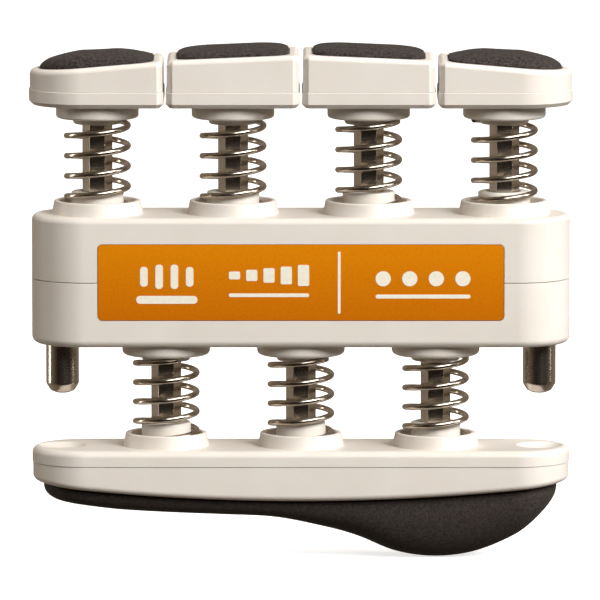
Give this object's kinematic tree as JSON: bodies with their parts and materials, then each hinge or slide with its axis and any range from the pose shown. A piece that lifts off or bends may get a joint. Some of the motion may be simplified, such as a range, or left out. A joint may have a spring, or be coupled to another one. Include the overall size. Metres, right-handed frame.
{
  "type": "finger exerciser",
  "caption": "Hand trainer with separately sprung finger caps above a central housing and a sprung, padded palm bar below it.",
  "frame": {"origin": "centre of the plan, level with the lowest point of the palm pad", "axes": "+X along the row of fingers towards the bulb of the palm pad, -Y the labelled front, +Z from the palm bar to the finger caps"},
  "size_m": [0.0822, 0.016, 0.078],
  "materials": {
    "ivory_plastic": "fine satin moulded ABS, warm ivory",
    "orange_label": "smooth printed label with a satin laminate",
    "soft_pad": "matt, finely grained soft rubber foam",
    "nickel_steel": "bright nickel plate with fine drawn lines",
    "spring_steel": "nickel-plated spring wire",
    "zinc_steel": "zinc-plated steel"
  },
  "bodies": {
    "housing": {"housing_upper": "ivory_plastic", "housing_lower": "ivory_plastic", "label_front": "orange_label", "guide_pin_left": "nickel_steel", "guide_pin_right": "nickel_steel", "finger_1_spring": "spring_steel", "finger_2_spring": "spring_steel", "finger_3_spring": "spring_steel", "finger_4_spring": "spring_steel", "palm_spring_left": "spring_steel", "palm_spring_middle": "spring_steel", "palm_spring_right": "spring_steel"},
    "finger_1": {"finger_1_base_plate": "ivory_plastic", "finger_1_cap": "ivory_plastic", "finger_1_pad": "soft_pad", "finger_1_shaft": "nickel_steel", "finger_1_clip": "zinc_steel", "finger_1_screw": "zinc_steel"},
    "finger_2": {"finger_2_base_plate": "ivory_plastic", "finger_2_cap": "ivory_plastic", "finger_2_pad": "soft_pad", "finger_2_shaft": "nickel_steel", "finger_2_clip": "zinc_steel", "finger_2_screw": "zinc_steel"},
    "finger_3": {"finger_3_base_plate": "ivory_plastic", "finger_3_cap": "ivory_plastic", "finger_3_pad": "soft_pad", "finger_3_shaft": "nickel_steel", "finger_3_clip": "zinc_steel", "finger_3_screw": "zinc_steel"},
    "finger_4": {"finger_4_base_plate": "ivory_plastic", "finger_4_cap": "ivory_plastic", "finger_4_pad": "soft_pad", "finger_4_shaft": "nickel_steel", "finger_4_clip": "zinc_steel", "finger_4_screw": "zinc_steel"},
    "palm_bar": {"palm_bar_upper": "ivory_plastic", "palm_bar_lower": "ivory_plastic", "palm_pad": "soft_pad", "palm_shaft_left": "nickel_steel", "palm_clip_left": "zinc_steel", "palm_screw_left": "zinc_steel", "palm_shaft_middle": "nickel_steel", "palm_clip_middle": "zinc_steel", "palm_screw_middle": "zinc_steel", "palm_shaft_right": "nickel_steel", "palm_clip_right": "zinc_steel", "palm_screw_right": "zinc_steel"}
  },
  "joints": [
    {"name": "finger_1_press", "type": "slide", "parent": "housing", "child": "finger_1", "axis": [0, 0, -1], "range_m": [0, 0.0085], "stiffness_N_per_m": 1100, "springref_m": -0.003, "deforming": ["finger_1_spring"]},
    {"name": "finger_2_press", "type": "slide", "parent": "housing", "child": "finger_2", "axis": [0, 0, -1], "range_m": [0, 0.0085], "stiffness_N_per_m": 1100, "springref_m": -0.003, "deforming": ["finger_2_spring"]},
    {"name": "finger_3_press", "type": "slide", "parent": "housing", "child": "finger_3", "axis": [0, 0, -1], "range_m": [0, 0.0085], "stiffness_N_per_m": 1100, "springref_m": -0.003, "deforming": ["finger_3_spring"]},
    {"name": "finger_4_press", "type": "slide", "parent": "housing", "child": "finger_4", "axis": [0, 0, -1], "range_m": [0, 0.0085], "stiffness_N_per_m": 1100, "springref_m": -0.003, "deforming": ["finger_4_spring"]},
    {"name": "palm_bar_squeeze", "type": "slide", "parent": "housing", "child": "palm_bar", "axis": [0, 0, 1], "range_m": [0, 0.0085], "stiffness_N_per_m": 3300, "springref_m": -0.003, "deforming": ["palm_spring_left", "palm_spring_middle", "palm_spring_right"]}
  ]
}
